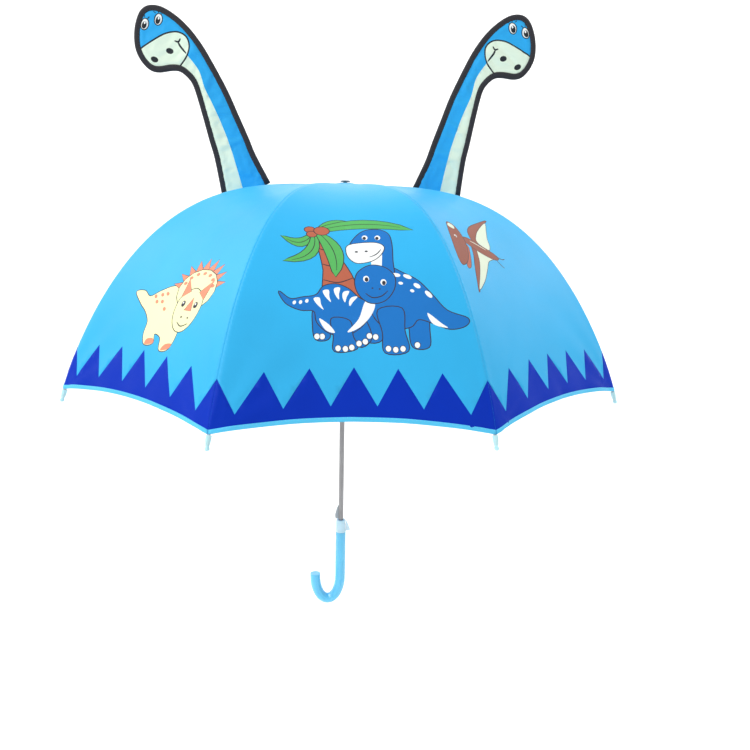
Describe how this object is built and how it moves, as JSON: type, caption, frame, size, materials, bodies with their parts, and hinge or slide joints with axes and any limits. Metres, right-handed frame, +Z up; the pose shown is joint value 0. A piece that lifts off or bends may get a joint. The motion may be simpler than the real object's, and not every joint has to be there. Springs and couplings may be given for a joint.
{
  "type": "children's umbrella",
  "caption": "Children's stick umbrella with a domed gored canopy, a zigzag printed border, two padded dinosaur necks on top and a hooked handle with a release button.",
  "frame": {"origin": "middle of the straight grip, on the shaft's axis", "axes": "+Z up the shaft towards the crown, -Y is the front gore, the handle's hook opens towards -X"},
  "size_m": [0.6566, 0.6566, 0.7966],
  "materials": {
    "shaft_steel": "drawn and lightly polished",
    "spring_steel": "drawn wire",
    "rib_steel": "zinc plated",
    "handle_plastic": "glossy light blue",
    "collar_plastic": "satin pale blue",
    "catch_plastic": "grey",
    "notch_plastic": "off-white",
    "tip_plastic": "satin pale blue",
    "canopy_fabric": "taut polyester pongee, printed",
    "neck_fabric": "padded polyester, printed",
    "neck_binding": "charcoal tape"
  },
  "bodies": {
    "shaft_and_handle": {"shaft": "shaft_steel", "handle": "handle_plastic", "collar": "collar_plastic", "notch": "notch_plastic", "notch_wire": "spring_steel", "crown_cap": "tip_plastic", "opening_spring": "spring_steel", "button_spring": "spring_steel"},
    "runner": {"runner": "notch_plastic", "runner_wire": "spring_steel", "drive_pin": "shaft_steel"},
    "release_button": {"release_button": "collar_plastic"},
    "bottom_catch": {"bottom_catch": "catch_plastic"},
    "rib_1": {"rib_1": "rib_steel", "rib_tip_1": "tip_plastic", "rivet_1": "rib_steel"},
    "stretcher_1": {"stretcher_1": "rib_steel"},
    "gore_1": {"gore_1": "canopy_fabric"},
    "rib_2": {"rib_2": "rib_steel", "rib_tip_2": "tip_plastic", "rivet_2": "rib_steel"},
    "stretcher_2": {"stretcher_2": "rib_steel"},
    "gore_2": {"gore_2": "canopy_fabric"},
    "rib_3": {"rib_3": "rib_steel", "rib_tip_3": "tip_plastic", "rivet_3": "rib_steel"},
    "stretcher_3": {"stretcher_3": "rib_steel"},
    "gore_3": {"gore_3": "canopy_fabric"},
    "rib_4": {"rib_4": "rib_steel", "rib_tip_4": "tip_plastic", "rivet_4": "rib_steel"},
    "stretcher_4": {"stretcher_4": "rib_steel"},
    "gore_4": {"gore_4": "canopy_fabric"},
    "rib_5": {"rib_5": "rib_steel", "rib_tip_5": "tip_plastic", "rivet_5": "rib_steel"},
    "stretcher_5": {"stretcher_5": "rib_steel"},
    "gore_5": {"gore_5": "canopy_fabric", "closure_strap": "canopy_fabric"},
    "rib_6": {"rib_6": "rib_steel", "rib_tip_6": "tip_plastic", "rivet_6": "rib_steel"},
    "stretcher_6": {"stretcher_6": "rib_steel"},
    "gore_6": {"gore_6": "canopy_fabric"},
    "rib_7": {"rib_7": "rib_steel", "rib_tip_7": "tip_plastic", "rivet_7": "rib_steel"},
    "stretcher_7": {"stretcher_7": "rib_steel"},
    "gore_7": {"gore_7": "canopy_fabric"},
    "rib_8": {"rib_8": "rib_steel", "rib_tip_8": "tip_plastic", "rivet_8": "rib_steel"},
    "stretcher_8": {"stretcher_8": "rib_steel"},
    "gore_8": {"gore_8": "canopy_fabric"},
    "neck_left": {"neck_left": "neck_fabric", "neck_left_binding": "neck_binding"},
    "neck_right": {"neck_right": "neck_fabric", "neck_right_binding": "neck_binding"}
  },
  "joints": [
    {"name": "canopy_fold", "type": "hinge", "parent": "shaft_and_handle", "child": "rib_1", "pos_m": [-0.00383, -0.00924, 0.5045], "axis": [0.9239, -0.3827, 0], "range_deg": [0, 53], "stiffness_Nm_per_rad": 0.25, "springref_deg": -114.59, "deforming": ["opening_spring"]},
    {"name": "rib_2_fold", "type": "hinge", "parent": "shaft_and_handle", "child": "rib_2", "pos_m": [0.00383, -0.00924, 0.5045], "axis": [0.9239, 0.3827, 0], "range_deg": [0, 53.1]},
    {"name": "rib_3_fold", "type": "hinge", "parent": "shaft_and_handle", "child": "rib_3", "pos_m": [0.00924, -0.00383, 0.5045], "axis": [0.3827, 0.9239, 0], "range_deg": [0, 53.1]},
    {"name": "rib_4_fold", "type": "hinge", "parent": "shaft_and_handle", "child": "rib_4", "pos_m": [0.00924, 0.00383, 0.5045], "axis": [-0.3827, 0.9239, 0], "range_deg": [0, 53.1]},
    {"name": "rib_5_fold", "type": "hinge", "parent": "shaft_and_handle", "child": "rib_5", "pos_m": [0.00383, 0.00924, 0.5045], "axis": [-0.9239, 0.3827, 0], "range_deg": [0, 53.1]},
    {"name": "rib_6_fold", "type": "hinge", "parent": "shaft_and_handle", "child": "rib_6", "pos_m": [-0.00383, 0.00924, 0.5045], "axis": [-0.9239, -0.3827, 0], "range_deg": [0, 53.1]},
    {"name": "rib_7_fold", "type": "hinge", "parent": "shaft_and_handle", "child": "rib_7", "pos_m": [-0.00924, 0.00383, 0.5045], "axis": [-0.3827, -0.9239, 0], "range_deg": [0, 53.1]},
    {"name": "rib_8_fold", "type": "hinge", "parent": "shaft_and_handle", "child": "rib_8", "pos_m": [-0.00924, -0.00383, 0.5045], "axis": [0.3827, -0.9239, 0], "range_deg": [0, 53.1]},
    {"name": "stretcher_1_pivot", "type": "hinge", "parent": "rib_1", "child": "stretcher_1", "pos_m": [-0.08602, -0.20768, 0.4569], "axis": [0.9239, -0.3827, 0], "range_deg": [-106.2, 0.1]},
    {"name": "stretcher_2_pivot", "type": "hinge", "parent": "rib_2", "child": "stretcher_2", "pos_m": [0.08602, -0.20768, 0.4569], "axis": [0.9239, 0.3827, 0], "range_deg": [-106.2, 0.1]},
    {"name": "stretcher_3_pivot", "type": "hinge", "parent": "rib_3", "child": "stretcher_3", "pos_m": [0.20768, -0.08602, 0.4569], "axis": [0.3827, 0.9239, 0], "range_deg": [-106.2, 0.1]},
    {"name": "stretcher_4_pivot", "type": "hinge", "parent": "rib_4", "child": "stretcher_4", "pos_m": [0.20768, 0.08602, 0.4569], "axis": [-0.3827, 0.9239, 0], "range_deg": [-106.2, 0.1]},
    {"name": "stretcher_5_pivot", "type": "hinge", "parent": "rib_5", "child": "stretcher_5", "pos_m": [0.08602, 0.20768, 0.4569], "axis": [-0.9239, 0.3827, 0], "range_deg": [-106.2, 0.1]},
    {"name": "stretcher_6_pivot", "type": "hinge", "parent": "rib_6", "child": "stretcher_6", "pos_m": [-0.08602, 0.20768, 0.4569], "axis": [-0.9239, -0.3827, 0], "range_deg": [-106.2, 0.1]},
    {"name": "stretcher_7_pivot", "type": "hinge", "parent": "rib_7", "child": "stretcher_7", "pos_m": [-0.20768, 0.08602, 0.4569], "axis": [-0.3827, -0.9239, 0], "range_deg": [-106.2, 0.1]},
    {"name": "stretcher_8_pivot", "type": "hinge", "parent": "rib_8", "child": "stretcher_8", "pos_m": [-0.20768, -0.08602, 0.4569], "axis": [0.3827, -0.9239, 0], "range_deg": [-106.2, 0.1]},
    {"name": "runner_travel", "type": "hinge", "parent": "stretcher_1", "child": "runner", "pos_m": [-0.00383, -0.00924, 0.40929], "axis": [0.9239, -0.3827, 0], "range_deg": [-0.1, 53.1]},
    {"name": "gore_1_fold", "type": "hinge", "parent": "rib_1", "child": "gore_1", "pos_m": [0, -0.01082, 0.5045], "axis": [0, 0.9083, -0.4184], "range_deg": [-0.1, 39.53], "deforming": ["gore_1"]},
    {"name": "gore_2_fold", "type": "hinge", "parent": "rib_2", "child": "gore_2", "pos_m": [0.00765, -0.00765, 0.5045], "axis": [-0.6422, 0.6422, -0.4184], "range_deg": [-0.1, 39.53], "deforming": ["gore_2"]},
    {"name": "gore_3_fold", "type": "hinge", "parent": "rib_3", "child": "gore_3", "pos_m": [0.01082, 0, 0.5045], "axis": [-0.9083, 0, -0.4184], "range_deg": [-0.1, 39.53], "deforming": ["gore_3"]},
    {"name": "neck_right_lean", "type": "hinge", "parent": "rib_3", "child": "neck_right", "pos_m": [0.01082, 0, 0.5045], "axis": [-0.9083, 0, -0.4184], "range_deg": [-0.1, 19.86]},
    {"name": "gore_4_fold", "type": "hinge", "parent": "rib_4", "child": "gore_4", "pos_m": [0.00765, 0.00765, 0.5045], "axis": [-0.6422, -0.6422, -0.4184], "range_deg": [-0.1, 39.53], "deforming": ["gore_4"]},
    {"name": "gore_5_fold", "type": "hinge", "parent": "rib_5", "child": "gore_5", "pos_m": [0, 0.01082, 0.5045], "axis": [0, -0.9083, -0.4184], "range_deg": [-0.1, 39.53], "deforming": ["gore_5", "closure_strap"]},
    {"name": "gore_6_fold", "type": "hinge", "parent": "rib_6", "child": "gore_6", "pos_m": [-0.00765, 0.00765, 0.5045], "axis": [0.6422, -0.6422, -0.4184], "range_deg": [-0.1, 39.53], "deforming": ["gore_6"]},
    {"name": "gore_7_fold", "type": "hinge", "parent": "rib_7", "child": "gore_7", "pos_m": [-0.01082, 0, 0.5045], "axis": [0.9083, 0, -0.4184], "range_deg": [-0.1, 39.53], "deforming": ["gore_7"]},
    {"name": "neck_left_lean", "type": "hinge", "parent": "rib_7", "child": "neck_left", "pos_m": [-0.01082, 0, 0.5045], "axis": [0.9083, 0, -0.4184], "range_deg": [-0.1, 19.86]},
    {"name": "gore_8_fold", "type": "hinge", "parent": "rib_8", "child": "gore_8", "pos_m": [-0.00765, -0.00765, 0.5045], "axis": [0.6422, 0.6422, -0.4184], "range_deg": [-0.1, 39.53], "deforming": ["gore_8"]},
    {"name": "release_button_press", "type": "slide", "parent": "shaft_and_handle", "child": "release_button", "axis": [-1, 0, 0], "range_m": [0, 0.003], "stiffness_N_per_m": 300, "springref_m": -0.002, "deforming": ["button_spring"]},
    {"name": "bottom_catch_retract", "type": "slide", "parent": "shaft_and_handle", "child": "bottom_catch", "axis": [1, 0, 0], "range_m": [-0.00001, 0.00451]}
  ],
  "couplings": [
    {"joint": "rib_2_fold", "follows": "canopy_fold", "ratio": 1},
    {"joint": "rib_3_fold", "follows": "canopy_fold", "ratio": 1},
    {"joint": "rib_4_fold", "follows": "canopy_fold", "ratio": 1},
    {"joint": "rib_5_fold", "follows": "canopy_fold", "ratio": 1},
    {"joint": "rib_6_fold", "follows": "canopy_fold", "ratio": 1},
    {"joint": "rib_7_fold", "follows": "canopy_fold", "ratio": 1},
    {"joint": "rib_8_fold", "follows": "canopy_fold", "ratio": 1},
    {"joint": "stretcher_1_pivot", "follows": "canopy_fold", "ratio": -2},
    {"joint": "stretcher_2_pivot", "follows": "canopy_fold", "ratio": -2},
    {"joint": "stretcher_3_pivot", "follows": "canopy_fold", "ratio": -2},
    {"joint": "stretcher_4_pivot", "follows": "canopy_fold", "ratio": -2},
    {"joint": "stretcher_5_pivot", "follows": "canopy_fold", "ratio": -2},
    {"joint": "stretcher_6_pivot", "follows": "canopy_fold", "ratio": -2},
    {"joint": "stretcher_7_pivot", "follows": "canopy_fold", "ratio": -2},
    {"joint": "stretcher_8_pivot", "follows": "canopy_fold", "ratio": -2},
    {"joint": "runner_travel", "follows": "canopy_fold", "ratio": 1},
    {"joint": "gore_1_fold", "follows": "canopy_fold", "ratio": 0.74201},
    {"joint": "gore_2_fold", "follows": "canopy_fold", "ratio": 0.74201},
    {"joint": "gore_3_fold", "follows": "canopy_fold", "ratio": 0.74201},
    {"joint": "neck_right_lean", "follows": "canopy_fold", "ratio": 0.371},
    {"joint": "gore_4_fold", "follows": "canopy_fold", "ratio": 0.74201},
    {"joint": "gore_5_fold", "follows": "canopy_fold", "ratio": 0.74201},
    {"joint": "gore_6_fold", "follows": "canopy_fold", "ratio": 0.74201},
    {"joint": "gore_7_fold", "follows": "canopy_fold", "ratio": 0.74201},
    {"joint": "neck_left_lean", "follows": "canopy_fold", "ratio": 0.371},
    {"joint": "gore_8_fold", "follows": "canopy_fold", "ratio": 0.74201},
    {"joint": "bottom_catch_retract", "follows": "release_button_press", "ratio": 1.5}
  ]
}
